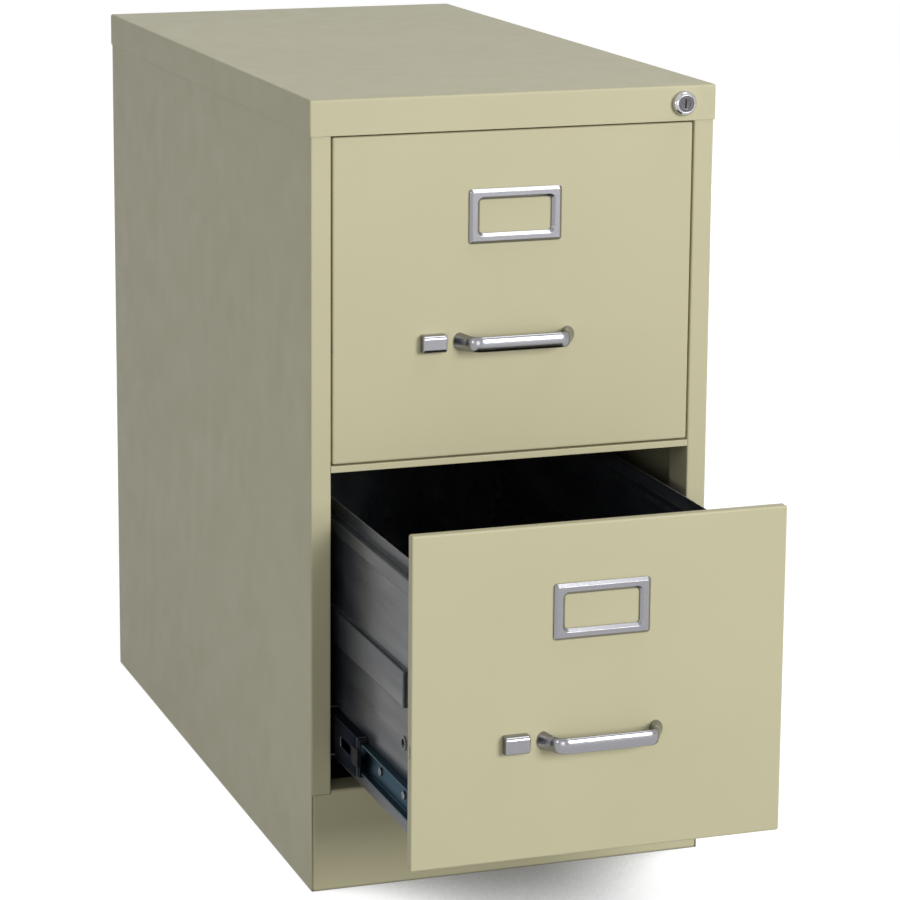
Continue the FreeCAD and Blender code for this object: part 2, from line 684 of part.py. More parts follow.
def drawer_front(level, bottom, pull):
    """The painted skin of a drawer front: a shallow pan with rounded edges."""
    x = ("0 - front_half", "front_half")
    y = both("0", "front_depth", pull)
    z = (bottom, f"{bottom} + front_height")
    block = soften(box(x, y, z), "front_bend", all_pairs_but("y+"))
    hollow = box(inset(x, "front_wall"), (f"{y[0]} + front_wall", f"{y[1]} + {PAST}"), inset(z, "front_wall"))
    hollow = soften(hollow, "front_bend - front_wall", all_pairs_but("y+"))
    middle = f"{z[1]} - handle_drop"
    neck_slot = box(
        ("neck_left - latch_play", "neck_right + latch_travel + latch_play"),
        (f"{y[0]} - {PAST}", f"{y[0]} + front_wall + {PAST}"),
        (f"{middle} - neck_height / 2 - latch_play", f"{middle} + neck_height / 2 + latch_play"),
    )
    shank_room = "rivet_radius + screw_play"
    holes = [
        hole_along_y(at_side(sign, "screw_x"), y[0], f"{y[0]} + front_wall", middle, shank_room)
        for sign in SIDES.values()
    ]
    keep(f"{level}_front", cut(block, [hollow, neck_slot, bolt_slot(middle, pull)] + holes))

    y = both("front_depth - front_wall - liner_fold", "front_depth", pull)
    inside = inset(z, "front_wall")
    block = box(inset(x, "front_wall"), y, inside)
    block = soften(block, "front_bend - front_wall", [(a, b) for a in ("x-", "x+") for b in ("z-", "z+")])
    hollow = box(
        inset(x, "2 * front_wall"),
        (f"{y[0]} - {PAST}", f"{y[1]} - front_wall"),
        inset(z, "2 * front_wall"),
    )
    shell = cut(block, [hollow, bolt_slot(middle, pull)])
    tab_left = "bolt_end + spring_length"
    tab = box(
        (tab_left, f"{tab_left} + tab_wall"),
        both("front_wall + seam", "front_depth - front_wall", pull),
        (f"{middle} - tab_height / 2", f"{middle} + tab_height / 2"),
    )
    keep(f"{level}_front_liner", fuse([shell, tab]))


def bolt_slot(middle, pull):
    """The slot in the left edge of a drawer front for the latch bolt's nose."""
    return box(
        (f"0 - front_half - {PAST}", "0 - front_half + 2 * front_wall + latch_play"),
        both("bolt_front - latch_play", "bolt_front + bolt_thick + latch_play", pull),
        (f"{middle} - bolt_height / 2 - latch_play", f"{middle} + bolt_height / 2 + latch_play"),
    )


def drawer_box(level, bottom, pull):
    """The sides, bottom and back of one drawer."""
    low = f"{bottom} + side_lift"
    rail_top = f"{bottom} + side_top"
    ledge = f"{rail_top} - rail_rise"
    step = f"{ledge} - ledge_drop"
    y = both("front_depth", "drawer_back", pull)
    y_past = (f"{y[0]} - {PAST}", f"{y[1]} + {PAST}")
    rail_x = "box_half + ledge_step - ledge_width"
    for side, sign in SIDES.items():
        web = box(either_side(sign, "box_half - drawer_wall", "box_half"), y, (low, f"{step} + drawer_wall"))
        foot = box(either_side(sign, "box_half - side_foot", "box_half"), y, (low, f"{low} + drawer_wall"))
        ledge_block = soften(
            box(either_side(sign, rail_x, "box_half + ledge_step"), y, (step, ledge)),
            "bead_round",
            [(outward(sign), "z+"), (outward(sign), "z-")],
        )
        ledge_hollow = box(
            either_side(sign, f"{rail_x} - {PAST}", "box_half + ledge_step - drawer_wall"),
            y_past,
            (f"{step} + drawer_wall", f"{ledge} - drawer_wall"),
        )
        ledge_foot = box(
            either_side(sign, f"{rail_x} - {PAST}", "box_half - drawer_wall"),
            y_past,
            (f"{step} - {PAST}", f"{step} + drawer_wall + seam"),
        )
        hanger = box(
            either_side(sign, rail_x, f"{rail_x} + drawer_wall"),
            y,
            (f"{ledge} - drawer_wall", rail_top),
        )
        bead_y = (f"{y[0]} + bead_start", f"{y[1]} - bead_margin")
        bead_z = (f"{bottom} + bead_low", f"{bottom} + bead_low + bead_height")
        bead = soften(
            box(either_side(sign, "box_half - drawer_wall", "box_half + bead_out"), bead_y, bead_z),
            "bead_round",
            [(outward(sign), face) for face in ("y-", "y+", "z-", "z+")],
        )
        pressed = box(
            either_side(sign, f"box_half - drawer_wall - {PAST}", "box_half + bead_out - drawer_wall"),
            inset(bead_y, "drawer_wall"),
            inset(bead_z, "drawer_wall"),
        )
        boss_x = "box_half - drawer_wall" if sign > 0 else "0 - box_half - boss_out"
        boss_at = (along("boss_back", pull), f"{bottom} + boss_lift")
        boss = rod("x", boss_x, *boss_at, "boss_radius", "drawer_wall + boss_out")
        through = f"drawer_wall + boss_out + 2 * {PAST}"
        holes = [rivet_hole(sign, at, f"{bottom} + slide_lift") for at in rivet_places(pull)]
        holes.append(rod("x", f"{boss_x} - {PAST}", *boss_at, "boss_hole", through))
        ledge_shell = cut(ledge_block, [ledge_hollow, ledge_foot])
        whole = fuse([web, foot, ledge_shell, hanger, bead, boss])
        keep(f"{level}_{side}_drawer_side", cut(whole, [pressed] + holes))

    inside = inset(("0 - box_half", "box_half"), "drawer_wall")
    floor_z = (f"{low} + drawer_wall", f"{low} + 2 * drawer_wall")
    keep(f"{level}_drawer_bottom", box(inside, (y[0], f"{y[1]} - drawer_wall"), floor_z))
    back_y = (f"{y[1]} - drawer_wall", y[1])
    back_z = (f"{low} + drawer_wall", f"{rail_top} - back_drop")
    wall = box(inside, back_y, back_z)
    hem = box(inside, (f"{y[1]} - side_foot", y[1]), (f"{back_z[1]} - drawer_wall", back_z[1]))
    keep(f"{level}_drawer_back", fuse([wall, hem]))


def oval(x, y, z, height, width, facing):
    """An upright oval that faces along a direction."""
    obj = doc.addObject("Part::Ellipse", "Section")
    obj.setExpression("MajorRadius", bound(f"({height}) / 2"))
    obj.setExpression("MinorRadius", bound(f"({width}) / 2"))
    obj.Placement = FreeCAD.Placement(Vector(), FreeCAD.Rotation(UPRIGHT, Vector(), facing, "ZXY"))
    place(obj, x, y, z)
    return obj


def loft(sections):
    """A solid through several ovals."""
    obj = doc.addObject("Part::Loft", "Loft")
    obj.Sections = sections
    obj.Solid = True
    return obj


def handle(level, bottom, pull):
    """A cast bow of oval section, with legs that lean out to flared feet."""
    middle = f"{bottom} + front_height - handle_drop"
    face = along("0", pull)
    spine = doc.addObject("Part::Wedge", "BowSpine")
    spans = (
        ("X", "0 - bow_half", "bow_half"),
        ("X2", "0 - screw_x", "screw_x"),
        ("Y", f"{face} - bow_out", f"{face} - foot_thick"),
        ("Z", middle, f"{middle} + bar_height"),
        ("Z2", middle, f"{middle} + bar_height"),
    )
    for name, low, high in spans:
        spine.setExpression(f"{name}max", bound(high))
        spine.setExpression(f"{name}min", bound(low))
    spine = soften_where(spine, "bow_radius", upright_on_front)
    doc.recompute()
    bounds = spine.Shape.BoundBox
    path = [
        (edge.CenterOfMass.x, f"Edge{number}")
        for number, edge in enumerate(spine.Shape.Edges, 1)
        if ends_on(edge, "z-", bounds) and not ends_on(edge, "y+", bounds)
    ]
    leg = Vector(-value("leg_slope"), -1, 0)
    bow = doc.addObject("Part::Sweep", "Bow")
    bow.Sections = [oval("screw_x", f"{face} - foot_thick", middle, "bar_height", "bar_depth", leg)]
    bow.Spine = (spine, [name for x, name in sorted(path, reverse=True)])
    bow.Solid = True

    solids = [bow]
    holes = []
    for sign in SIDES.values():
        rows = (
            ("0", "0", "1", "0"),
            ("foot_thick", "0", "1", "0"),
            ("flare_reach / 2", "(flare_reach / 2 - foot_thick)", "flare_share", "flare_skin"),
            ("flare_reach", "(flare_reach - foot_thick)", "0", "flare_skin"),
        )
        sections = [
            oval(
                at_side(sign, f"screw_x - leg_slope * {past_foot}"),
                f"{face} - ({out})",
                middle,
                f"bar_height + (foot_height - bar_height) * {spread} + {skin}",
                f"bar_depth + (foot_width - bar_depth) * {spread} + {skin}",
                FORWARD,
            )
            for out, past_foot, spread, skin in rows
        ]
        solids += [loft(sections[:2]), loft(sections[1:])]
        start = f"{face} - handle_screw_depth"
        length = f"handle_screw_depth + {PAST}"
        screw_room = "rivet_radius + screw_play"
        holes.append(rod("y", at_side(sign, "screw_x"), start, middle, screw_room, length))
    keep(f"{level}_handle", cut(fuse(solids), holes))


def upright_on_front(edge, bounds):
    """Whether an edge stands upright at the front."""
    return ends_on(edge, "y-", bounds) and not any(ends_on(edge, face, bounds) for face in ("z-", "z+"))


def on_front(edge, bounds):
    """Whether an edge goes round the front face."""
    return ends_on(edge, "y-", bounds)


def label_holder(level, bottom, pull):
    """A bevelled frame for a card, with a slot behind it."""
    top = f"{bottom} + front_height - label_drop"
    face = along("0", pull)
    x = ("0 - label_width / 2", "label_width / 2")
    y = (f"{face} - label_thick", face)
    z = (f"{top} - label_height", top)
    corners = [(a, b) for a in ("x-", "x+") for b in ("z-", "z+")]
    block = soften(box(x, y, z), "label_corner", corners)
    window = soften(box(inset(x, "label_frame"), past(y), inset(z, "label_frame")), "label_corner", corners)
    frame = cut(block, [window])
    bevelled = soften_where(frame, "label_bevel", on_front, "Part::Chamfer")
    slot = box(
        inset(x, "label_frame - card_margin"),
        (f"{face} - card_slot", f"{face} + {PAST}"),
        (f"{z[0]} + label_frame - card_margin", f"{z[1]} + {PAST}"),
    )
    keep(f"{level}_label_holder", cut(bevelled, [slot]))


def thumb_latch(level, bottom, pull):
    """The sliding thumb latch, its bolt behind the skin and the spring that returns it."""
    middle = f"{bottom} + front_height - handle_drop"
    face = along("0", pull)
    button = box(
        ("latch_left", "latch_right"),
        (f"{face} - latch_reach", f"{face} - latch_play"),
        (f"{middle} - latch_height / 2", f"{middle} + latch_height / 2"),
    )
    button = soften(button, "latch_round", [("y-", "z-"), ("y-", "z+")])
    button = soften(button, "latch_corner", [("x-", "y-"), ("x+", "y-")])
    bolt_y = both("bolt_front", "bolt_front + bolt_thick", pull)
    neck = box(
        ("neck_left", "neck_right"),
        (f"{face} - latch_play - seam", bolt_y[0]),
        (f"{middle} - neck_height / 2", f"{middle} + neck_height / 2"),
    )
    keep(f"{level}_thumb_latch", fuse([button, neck]))

    bolt = box(
        ("0 - front_half - bolt_nose", "bolt_end"),
        bolt_y,
        (f"{middle} - bolt_height / 2", f"{middle} + bolt_height / 2"),
    )
    bolt = soften(bolt, "bolt_lead", [("x-", "y+")], "Part::Chamfer")
    tab = box(
        ("bolt_end - tab_wall", "bolt_end"),
        both("bolt_front", "front_depth - front_wall - seam", pull),
        (f"{middle} - tab_height / 2", f"{middle} + tab_height / 2"),
    )
    keep(f"{level}_latch_bolt", fuse([bolt, tab]))

    length = "spring_length - 2 * (spring_play + spring_wire)"
    helix = doc.addObject("Part::Helix", "Coil")
    helix.setExpression("Radius", bound("spring_radius"))
    helix.setExpression("Height", bound(length))
    helix.setExpression("Pitch", bound(f"({length}) / spring_turns"))
    section = doc.addObject("Part::Circle", "Wire")
    section.setExpression("Radius", bound("spring_wire"))
    section.Placement = FreeCAD.Placement(Vector(), FreeCAD.Rotation(Vector(1, 0, 0), 90))
    section.setExpression("Placement.Base.x", bound("spring_radius"))
    doc.recompute()
    coil = doc.addObject("Part::Sweep", "Spring")
    coil.Sections = [section]
    coil.Spine = (helix, ["Edge1"])
    coil.Solid = True
    coil.Frenet = True
    coil.Placement = FreeCAD.Placement(Vector(), TURNS["x"])
    place(coil, "bolt_end + spring_play + spring_wire", along("spring_y", pull), middle)
    keep(f"{level}_latch_spring", coil)


def fasteners(level, bottom, pull):
    """The handle's screws and the rivets of the drawer members."""
    middle = f"{bottom} + front_height - handle_drop"
    slide_z = f"{bottom} + slide_lift"
    pieces = []
    for sign in SIDES.values():
        x = at_side(sign, "screw_x")
        shank = rod(
            "y",
            x,
            along("screw_end_gap - handle_screw_depth", pull),
            middle,
            "rivet_radius",
            "handle_screw_depth - screw_end_gap + front_wall",
        )
        head = rod("y", x, along("front_wall", pull), middle, "rivet_head", "head_height")
        pieces.append(fuse([shank, head]))
        for y in rivet_places(pull):
            inner = "box_half - drawer_wall - head_height"
            outer = "box_half + slide_steel"
            total = "drawer_wall + slide_steel + 2 * head_height"
            start = inner if sign > 0 else f"0 - ({outer}) - head_height"
            shank = rod("x", start, y, slide_z, "rivet_radius", total)
            heads = [
                rod("x", start, y, slide_z, "rivet_head", "head_height"),
                rod("x", f"{start} + {total} - head_height", y, slide_z, "rivet_head", "head_height"),
            ]
            pieces.append(fuse([shank] + heads))
    keep(f"{level}_drawer_fasteners", group(pieces))


def lock():
    """The lock in the cap's band, its cam and the bar that it moves down the right post."""
    ring = rod("y", "lock_x", "bezel_face_y", "lock_z", "bezel_radius", "bezel_out")
    ring = soften_where(ring, "bezel_round", on_front)
    length = f"barrel_back - band_face + {PAST}"
    barrel = rod("y", "lock_x", f"band_face - {PAST}", "lock_z", "barrel_radius", length)
    bore = hole_along_y("lock_x", "bezel_face_y", "barrel_back", "lock_z", "core_radius + core_play")
    keep("lock_barrel", cut(fuse([ring, barrel]), [bore]))

    core_face = "bezel_face_y + core_recess"
    core = rod("y", "lock_x", core_face, "lock_z", "core_radius", f"cam_front - ({core_face})")
    keyway = box(
        ("lock_x - keyway_width / 2", "lock_x + keyway_width / 2"),
        (f"{core_face} - {PAST}", f"{core_face} + keyway_depth"),
        ("lock_z - keyway_height / 2", "lock_z + keyway_height / 2"),
    )
    dish = rod("y", "lock_x", f"{core_face} - {PAST}", "lock_z", "dish_radius", f"dish_depth + {PAST}")
    keep("lock_core", cut(core, [keyway, dish]))

    clip = box(
        ("lock_x - clip_width / 2", "lock_x + clip_width / 2"),
        ("case_wall", "case_wall + clip_wall"),
        ("lock_z - clip_height / 2", "lock_z + clip_height / 2"),
    )
    bite = "barrel_radius + screw_play"
    round_bite = rod("y", "lock_x", "0", "lock_z", bite, f"case_wall + clip_wall + {PAST}")
    open_bite = box(
        (f"lock_x - ({bite})", f"lock_x + {bite}"),
        ("0", f"case_wall + clip_wall + {PAST}"),
        ("lock_z - clip_height", "lock_z"),
    )
    keep("lock_clip", cut(clip, [round_bite, open_bite]))

    arm = doc.addObject("Part::Box", "CamArm")
    arm.setExpression("Length", bound("cam_reach"))
    arm.setExpression("Width", bound("cam_wall"))
    arm.setExpression("Height", bound("cam_width"))
    arm.Placement = FreeCAD.Placement(Vector(), FreeCAD.Rotation(Vector(0, 1, 0), -value("cam_angle")))
    place(
        arm,
        "lock_x + cam_width / 2 * sin(cam_angle)",
        "cam_front",
        "lock_z - cam_width / 2 * cos(cam_angle)",
    )
    hub = rod("y", "lock_x", "cam_front", "lock_z", "cam_width / 2", "cam_wall")
    eye = rod("y", "lock_x + cam_out", "cam_front", "arm_z", "cam_eye", "cam_wall")
    pin = rod("y", "lock_x + cam_out", "cam_front", "arm_z", "cam_pin", "cam_wall + pin_length")
    keep("lock_cam", fuse([arm, hub, eye, pin]))

    lock_bar()


def lock_bar():
    """The upright bar in the right post, with an arm to the cam and a hook at each drawer."""
    y = ("arm_front", "arm_front + arm_wall")
    slot_half = "cam_pin + pin_play"
    slot_x = ("lock_x + cam_out - cam_pin - pin_play", "lock_x + cam_reach + cam_pin + pin_play")
    arm_z = (f"arm_z - ({slot_half}) - arm_rim", f"arm_z + {slot_half} + arm_rim")
    arm = box((f"{slot_x[0]} - arm_rim", "bar_x + bar_width"), y, arm_z)
    slot = box(slot_x, past(y), inset(arm_z, "arm_rim"))
    upright = box(("bar_x", "bar_x + bar_width"), y, ("bar_low", arm_z[1]))
    hooks = [
        box(
            ("open_half + seam", "bar_x + seam"),
            y,
            (
                f"{bottom} + front_height / 2 - hook_height / 2",
                f"{bottom} + front_height / 2 + hook_height / 2",
            ),
        )
        for bottom in BOTTOMS
    ]
    keep("lock_bar", cut(fuse([arm, upright] + hooks), [slot]))

    guides = []
    for bottom in BOTTOMS:
        z = (f"{bottom} + guide_lift", f"{bottom} + guide_lift + guide_thick")
        plate = box(
            ("open_half + case_wall", "case_half - case_wall"),
            (f"{y[0]} - guide_play - guide_rim", f"{y[1]} + guide_play + guide_rim"),
            z,
        )
        eye = box(
            ("bar_x - guide_play", "bar_x + bar_width + guide_play"),
            inset(y, "0 - guide_play"),
            past(z),
        )
        guides.append(cut(plate, [eye]))
    keep("lock_bar_guides", group(guides))


top_cap()
for side_name in SIDES:
    side_panel(side_name)
    rear_post(side_name)
back_panel()
base_front()
base_rear()
front_rails()
for drawer in DRAWERS:
    slides(*drawer)
    drawer_front(*drawer)
    drawer_box(*drawer)
    handle(*drawer)
    label_holder(*drawer)
    thumb_latch(*drawer)
    fasteners(*drawer)
lock()

doc.recompute()

for obj in doc.Objects:
    if "Invalid" in obj.State or "Error" in obj.State:
        raise RuntimeError(f"{obj.Label} failed: {obj.State}")
os.makedirs("parts", exist_ok=True)
for obj in nodes:
    if obj.Shape.isNull() or not obj.Shape.isValid():
        raise RuntimeError(f"{obj.Label} has no valid shape")
for obj in nodes:
    obj.Shape.exportStep(f"parts/{obj.Label}.step")
print(len(nodes), "sub-parts")
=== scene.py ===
import json
import math
from collections import namedtuple

import bpy
from mathutils import Matrix, Vector


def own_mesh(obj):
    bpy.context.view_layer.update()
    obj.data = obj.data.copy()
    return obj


# A two-drawer vertical filing cabinet in painted steel, seen from the front left and above.
# Everything is in metres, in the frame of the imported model.

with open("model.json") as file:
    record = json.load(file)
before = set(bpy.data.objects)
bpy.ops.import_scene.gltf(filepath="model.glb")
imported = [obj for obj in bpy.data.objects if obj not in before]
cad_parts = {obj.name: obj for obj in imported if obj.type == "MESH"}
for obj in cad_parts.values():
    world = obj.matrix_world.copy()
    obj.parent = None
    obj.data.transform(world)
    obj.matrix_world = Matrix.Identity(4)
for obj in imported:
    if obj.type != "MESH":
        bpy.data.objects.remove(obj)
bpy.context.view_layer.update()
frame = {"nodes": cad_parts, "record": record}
NODES = frame["nodes"]
SLOT_OF = {part["node"]: part["material_slot"] for part in frame["record"]["subparts"]}

# The camera stands to the left of the cabinet, above it, and looks right and down.
CAMERA_PLACE = Vector((-1.0085, -2.6683, 1.0953))
CAMERA_YAW = 17.95
CAMERA_PITCH = 11.4
CAMERA_ROLL = -0.12
CAMERA_LENS = 130.6
CAMERA_SHIFT = (0.10, -0.15)

# Square lamps that all point at the same place, with their power in watts.
Lamp = namedtuple("Lamp", "place width power")
LAMP_TARGET = Vector((0.0, 0.1, 0.4))
LAMPS = {
    "key": Lamp(place=Vector((2.2, -5.0, 2.0)), width=2.2, power=209),
    "overhead": Lamp(place=Vector((0.75, -0.6, 3.0)), width=1.0, power=12),
    "left": Lamp(place=Vector((-3.0, -0.8, 0.9)), width=0.6, power=6),
    "front": Lamp(place=Vector((-2.2, -3.6, 0.8)), width=1.8, power=25),
    "back": Lamp(place=Vector((2.6, 3.6, 0.40)), width=0.5, power=42),
}

# The world's strength as light, and as the background that is seen.
AMBIENT = 0.22
BACKGROUND = 1.0

# The floor: its own grey, and a glow where it lies open to the sky. The openness is measured over
# the reach, and the glow grows over the span of openness.
FLOOR_SIZE = 30
FLOOR_GREY = (0.36, 0.36, 0.36, 1)
FLOOR_GLOW = 0.92
OPEN_REACH = 1.2
OPEN_SPAN = (0.10, 0.32)

# Base colours: the plain one, its variation, and the one along edges, which is partly rubbing and
# partly a painted highlight.
PUTTY = ((0.572, 0.540, 0.352, 1), (0.553, 0.522, 0.338, 1), (0.640, 0.615, 0.440, 1))
DRAWER_GREY = ((0.030, 0.034, 0.044, 1), (0.085, 0.090, 0.102, 1), (0.430, 0.435, 0.450, 1))
SATIN_CHROME = ((0.300, 0.300, 0.318, 1), (0.262, 0.262, 0.282, 1), (0.480, 0.480, 0.490, 1))
BRIGHT_CHROME = ((0.520, 0.520, 0.535, 1), (0.450, 0.450, 0.470, 1), (0.700, 0.700, 0.710, 1))
NICKEL = ((0.066, 0.062, 0.068, 1), (0.112, 0.106, 0.112, 1), (0.320, 0.315, 0.320, 1))
BLACK = ((0.012, 0.012, 0.014, 1), (0.024, 0.024, 0.026, 1), (0.070, 0.070, 0.072, 1))
BLUE_ZINC = ((0.066, 0.112, 0.148, 1), (0.105, 0.158, 0.200, 1), (0.290, 0.335, 0.375, 1))
ZINC_STEEL = ((0.034, 0.038, 0.048, 1), (0.062, 0.069, 0.084, 1), (0.300, 0.315, 0.345, 1))
PLAIN_STEEL = ((0.080, 0.085, 0.095, 1), (0.130, 0.135, 0.145, 1), (0.400, 0.400, 0.410, 1))

# Heights of the relief.
SHEET_WAVE = 0.0003
ORANGE_PEEL = 0.000006
DRAWN_WAVE = 0.0022
DRAWING_LINES = 0.000006
SATIN_GRAIN = 0.000004
BRIGHT_GRAIN = 0.000001
MOULDED_GRAIN = 0.00001

# How much of a pattern's fineness stays in each direction.
EVEN = (1, 1, 1)
# Streaks for the drawer steel's scuffs and painted sheen.
SCUFFS_AND_SHEEN = (1, 0.25, 1)
DRAWN = (1, 0.1, 1)
FINELY_DRAWN = (1, 0.05, 1)
ROLLED = (1, 0.08, 1)

# The middle of a noise pattern, where most of its values lie.
MIDDLE_SPAN = (0.3, 0.7)

# How closely the rounded and the plain direction agree on an edge that shows rubbing and a painted
# highlight, and off it, and the share of this edge mark that is left where its pattern is weakest.
EDGE_SPAN = (0.8, 0.99)
LEAST_WEAR_AND_HIGHLIGHT = 0.3

# A plated metal's edge rubbing and painted edge highlight are this much wider than its rounded
# edges, and the patterns of this edge mark and of its gloss are this much coarser than its grain.
WEAR_AND_HIGHLIGHT_WIDTH = 1.5
WEAR_AND_HIGHLIGHT_COARSENESS = 2
GLOSS_COARSENESS = 3


class Finish:
    """A material under construction, on the object's own coordinates."""

    EDGE_SAMPLES = 6

    def __init__(self, name, metallic=0.0, gloss=0.5):
        self.material = bpy.data.materials.new(name)
        self.material.use_nodes = True
        self.tree = self.material.node_tree
        self.shader = self.tree.nodes["Principled BSDF"]
        self.shader.inputs["Metallic"].default_value = metallic
        self.shader.inputs["Specular IOR Level"].default_value = gloss
        self.place = self.tree.nodes.new("ShaderNodeTexCoord").outputs["Object"]

    def link(self, output, socket):
        """Feed an output into a socket."""
        self.tree.links.new(output, socket)

    def noise(self, scale, detail=3, stretch=EVEN):
        """A noise pattern with about this many features in a metre."""
        mapping = self.tree.nodes.new("ShaderNodeMapping")
        mapping.inputs["Scale"].default_value = stretch
        self.link(self.place, mapping.inputs["Vector"])
        texture = self.tree.nodes.new("ShaderNodeTexNoise")
        texture.inputs["Scale"].default_value = scale
        texture.inputs["Detail"].default_value = detail
        self.link(mapping.outputs["Vector"], texture.inputs["Vector"])
        return texture.outputs["Fac"]

    def spread(self, pattern, low=0.0, high=1.0, span=MIDDLE_SPAN):
        """The values of a pattern within a span, mapped to a range of values."""
        node = self.tree.nodes.new("ShaderNodeMapRange")
        sockets = ("From Min", "From Max", "To Min", "To Max")
        for socket, value in zip(sockets, (*span, low, high)):
            node.inputs[socket].default_value = value
        self.link(pattern, node.inputs["Value"])
        return node.outputs["Result"]

    def rounded(self, radius):
        """The surface's direction, with sharp edges rounded off."""
        node = self.tree.nodes.new("ShaderNodeBevel")
        node.samples = self.EDGE_SAMPLES
        node.inputs["Radius"].default_value = radius
        return node.outputs["Normal"]

    def wear_and_highlight(self, radius, amount, grain):
        """Where edges show rubbing and a painted highlight: the places near a sharp turn, broken up
        by a pattern.
        """
        turn = self.tree.nodes.new("ShaderNodeVectorMath")
        turn.operation = "DOT_PRODUCT"
        plain = self.tree.nodes.new("ShaderNodeNewGeometry").outputs["Normal"]
        self.link(self.rounded(radius), turn.inputs[0])
        self.link(plain, turn.inputs[1])
        rubbed_and_highlit = self.spread(turn.outputs["Value"], low=amount, high=0, span=EDGE_SPAN)
        both = self.tree.nodes.new("ShaderNodeMath")
        both.operation = "MULTIPLY"
        self.link(rubbed_and_highlit, both.inputs[0])
        self.link(self.spread(self.noise(grain), low=LEAST_WEAR_AND_HIGHLIGHT), both.inputs[1])
        return both.outputs["Value"]

    def mix(self, share, first, second):
        """A colour between two others, each a plain colour or a pattern."""
        mix = self.tree.nodes.new("ShaderNodeMix")
        mix.data_type = "RGBA"
        for name, colour in (("A", first), ("B", second)):
            socket = next(item for item in mix.inputs if item.name == name and item.type == "RGBA")
            if isinstance(colour, tuple):
                socket.default_value = colour
            else:
                self.link(colour, socket)
        self.link(share, mix.inputs["Factor"])
        return next(item for item in mix.outputs if item.type == "RGBA")

    def colour(self, pattern, wear_and_highlight, colours):
        """The base colour: two colours by a pattern, and a third along edges, for rubbing and a
        painted highlight.
        """
        plain, other, worn_and_highlit = colours
        body = self.mix(pattern, plain, other)
        self.link(self.mix(wear_and_highlight, body, worn_and_highlit), self.shader.inputs["Base Color"])

    def roughness(self, pattern, low, high):
        """The roughness, between two values by a pattern."""
        self.link(self.spread(pattern, low, high), self.shader.inputs["Roughness"])

    def relief(self, edge, *layers):
        """Edges rounded by a radius, and over them patterns, each with the height of its relief."""
        normal = self.rounded(edge)
        for pattern, height in layers:
            node = self.tree.nodes.new("ShaderNodeBump")
            node.inputs["Strength"].default_value = 1.0
            node.inputs["Distance"].default_value = height
            self.link(pattern, node.inputs["Height"])
            self.link(normal, node.inputs["Normal"])
            normal = node.outputs["Normal"]
        self.link(normal, self.shader.inputs["Normal"])


def putty_paint():
    """Smooth satin enamel: a fine orange peel, and sheet that isn't quite flat."""
    finish = Finish("putty_paint", gloss=0.28)
    cloud = finish.spread(finish.noise(6, detail=2))
    # The lighter edges are partly rubbing and partly a painted highlight.
    finish.colour(cloud, finish.wear_and_highlight(radius=0.0009, amount=0.5, grain=60), PUTTY)
    finish.roughness(finish.noise(40, detail=4), low=0.40, high=0.48)
    wave = finish.noise(5, detail=1)
    peel = finish.noise(700, detail=2)
    finish.relief(0.0006, (wave, SHEET_WAVE), (peel, ORANGE_PEEL))
    return finish.material


def drawer_steel():
    """Dark coated steel with faint drawing lines along its length, and light streaks that are partly
    scuffs and partly painted sheen.
    """
    finish = Finish("drawer_steel", gloss=0.45)
    # Lighter streaks, partly scuffs and partly a painted sheen.
    scuffs_and_sheen = finish.spread(finish.noise(28, detail=6, stretch=SCUFFS_AND_SHEEN), span=(0.45, 0.75))
    # The much lighter edges are a painted highlight, with some rubbing.
    finish.colour(scuffs_and_sheen, finish.wear_and_highlight(radius=0.0012, amount=0.9, grain=90), DRAWER_GREY)
    finish.roughness(finish.noise(60, detail=4, stretch=DRAWN), low=0.24, high=0.42)
    wave = finish.noise(9, detail=1)
    lines = finish.noise(500, stretch=FINELY_DRAWN)
    finish.relief(0.0004, (wave, DRAWN_WAVE), (lines, DRAWING_LINES))
    return finish.material


def black_plastic():
    """Moulded plastic with a fine texture and a little dust."""
    finish = Finish("black_plastic", gloss=0.04)
    dust = finish.spread(finish.noise(90, detail=5), span=(0.5, 0.8))
    # The lighter edges are partly rubbing and partly a painted highlight.
    finish.colour(dust, finish.wear_and_highlight(radius=0.0006, amount=0.8, grain=200), BLACK)
    finish.roughness(finish.noise(200), low=0.42, high=0.58)
    finish.relief(0.0005, (finish.noise(1500, detail=2), MOULDED_GRAIN))
    return finish.material


def plated(name, colours, rough, grain, stretch=EVEN, edge=0.0005, height=SATIN_GRAIN, rim=1.0):
    """A plated metal with a fine grain in its colour, gloss and relief, and a tint at its rim."""
    finish = Finish(name, metallic=1.0)
    pattern = finish.noise(grain, detail=5, stretch=stretch)
    # The lighter edges are partly rubbing and partly a painted highlight.
    rubbed_and_highlit = finish.wear_and_highlight(radius=edge * WEAR_AND_HIGHLIGHT_WIDTH, amount=0.9, grain=grain / WEAR_AND_HIGHLIGHT_COARSENESS)
    finish.colour(finish.spread(pattern), rubbed_and_highlit, colours)
    finish.roughness(finish.noise(grain / GLOSS_COARSENESS, detail=4, stretch=stretch), *rough)
    finish.relief(edge, (pattern, height))
    finish.shader.inputs["Specular Tint"].default_value = (rim, rim, rim, 1)
    return finish.material


